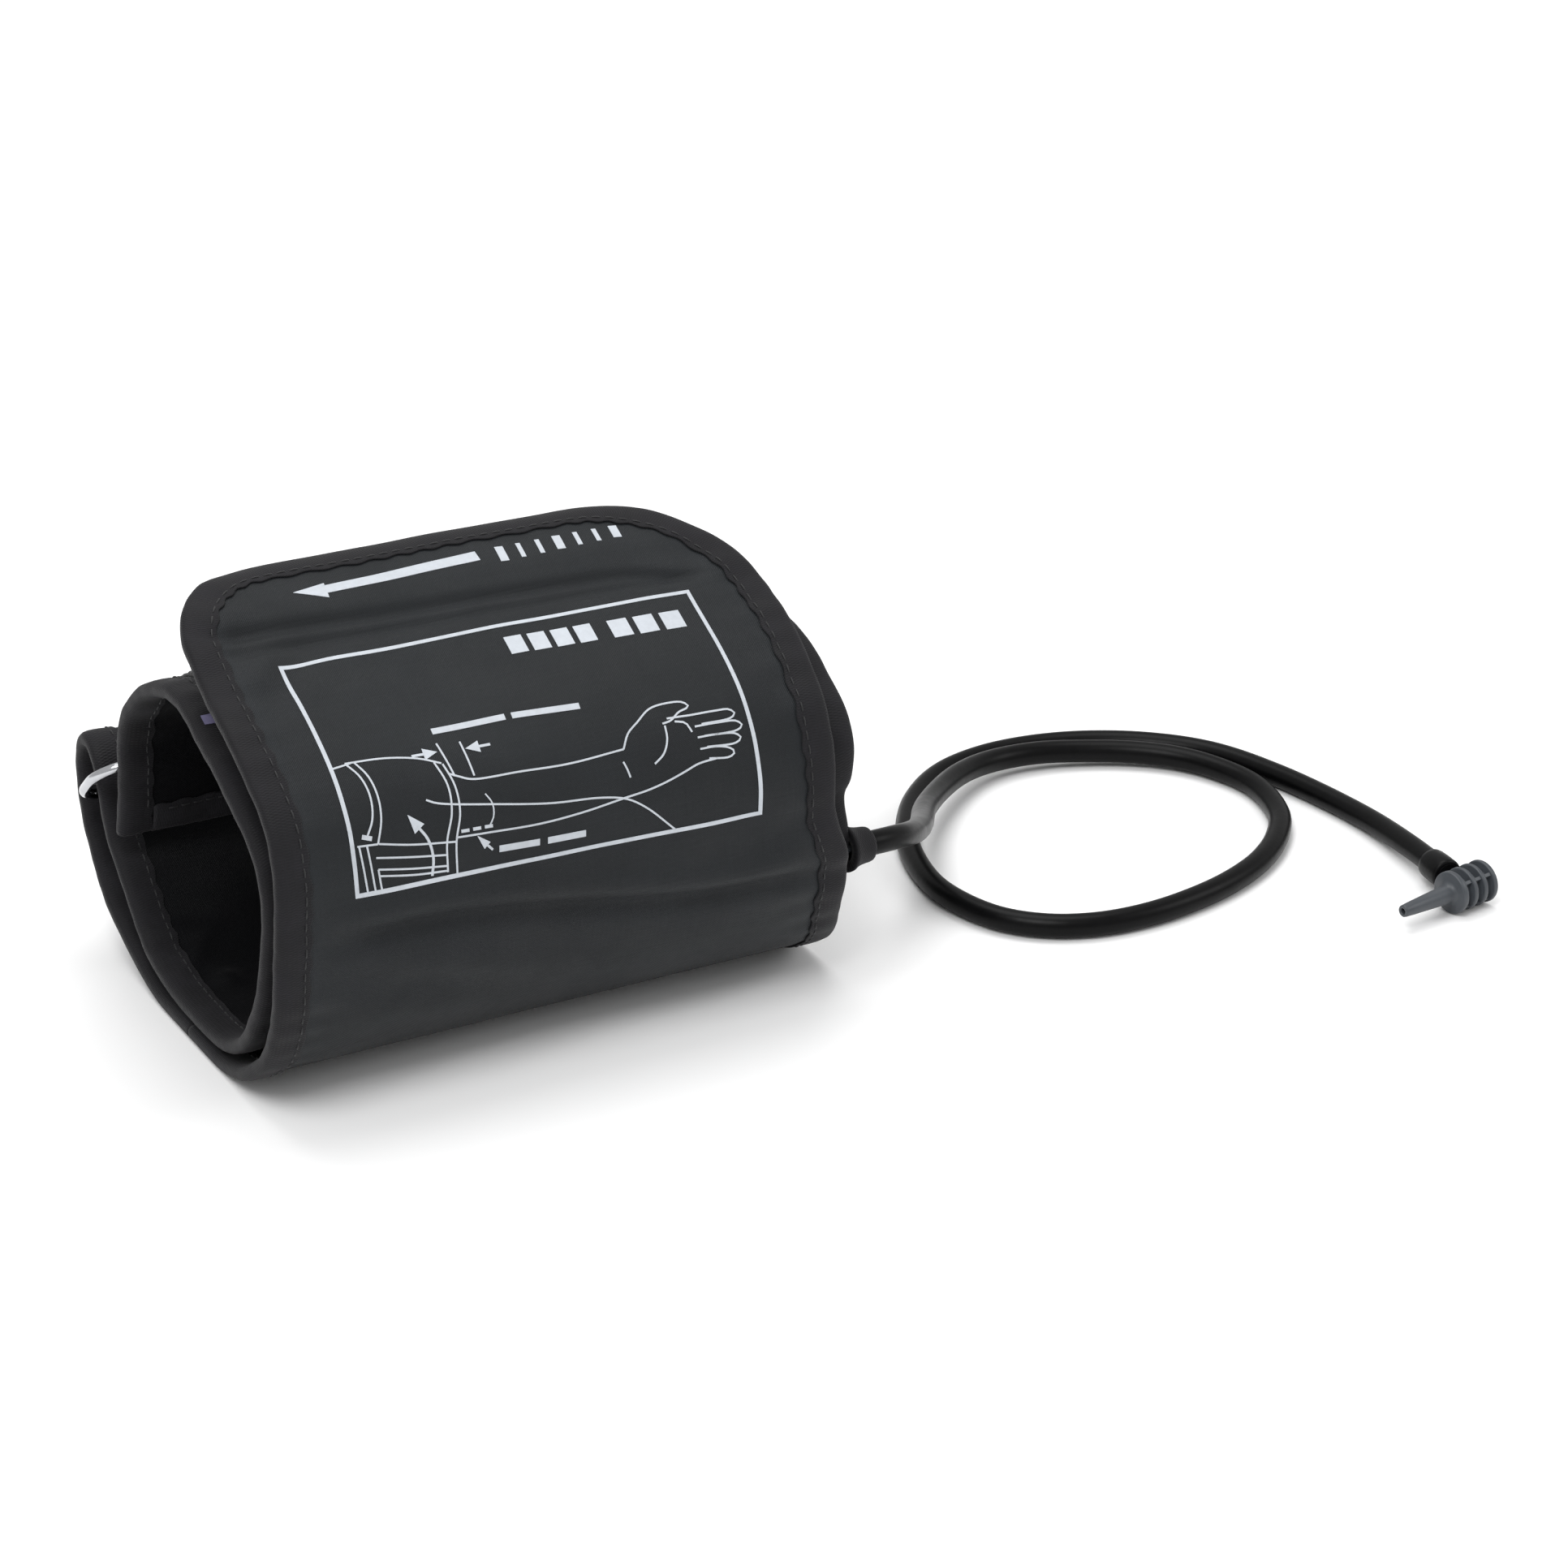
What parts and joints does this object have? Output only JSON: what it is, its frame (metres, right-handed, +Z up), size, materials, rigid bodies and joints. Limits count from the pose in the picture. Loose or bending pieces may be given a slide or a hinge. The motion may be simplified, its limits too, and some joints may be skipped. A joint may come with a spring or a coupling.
{
  "type": "upper arm blood pressure cuff with hose and air plug",
  "caption": "Rolled upper-arm pressure cuff closed through a metal ring, with a peel-open hook-and-loop flap, an air hose lying in a loop and a ribbed air plug.",
  "frame": {"origin": "middle of the rolled cuff's footprint, on the floor (hose, plug and hose outlet left out)", "axes": "+X along the roll towards the end the hose leaves, -Y the printed front, +Z up"},
  "size_m": [0.3093, 0.1568, 0.1089],
  "materials": {
    "cloth": "matt woven nylon",
    "lining": "matt woven nylon",
    "tape": "matt woven tape",
    "thread": "matt thread",
    "loop": "brushed loop pile",
    "hook": "stiff hook pile",
    "bladder": "soft film",
    "port": "satin",
    "ring": "bright plated wire",
    "hose": "satin",
    "plug": "satin moulded"
  },
  "bodies": {
    "cuff": {"lining_cloth": "lining", "outer_cloth": "cloth", "edge_binding_left": "tape", "edge_binding_right": "tape", "edge_thread_left": "thread", "edge_thread_right": "thread", "tab_binding": "tape", "bladder_sheet_inner": "bladder", "bladder_sheet_outer": "bladder", "bladder_port": "port", "loop_panel": "loop", "ring_sleeve": "cloth", "hose_outlet": "cloth", "hose": "hose", "hose_end_collar": "hose", "air_plug": "plug"},
    "ring": {"metal_ring": "ring"},
    "flap": {"flap_printed_cloth": "cloth", "flap_backing_cloth": "cloth", "flap_binding": "tape", "flap_thread": "thread", "hook_patch": "hook"}
  },
  "joints": [
    {"name": "ring_swing", "type": "hinge", "parent": "cuff", "child": "ring", "pos_m": [0, 0.03631, 0.05235], "axis": [1, 0, 0], "range_deg": [0, 20]},
    {"name": "flap_peel", "type": "hinge", "parent": "cuff", "child": "flap", "pos_m": [0, -0.0613, 0.0393], "axis": [1, 0, 0], "range_deg": [0, 75]}
  ]
}
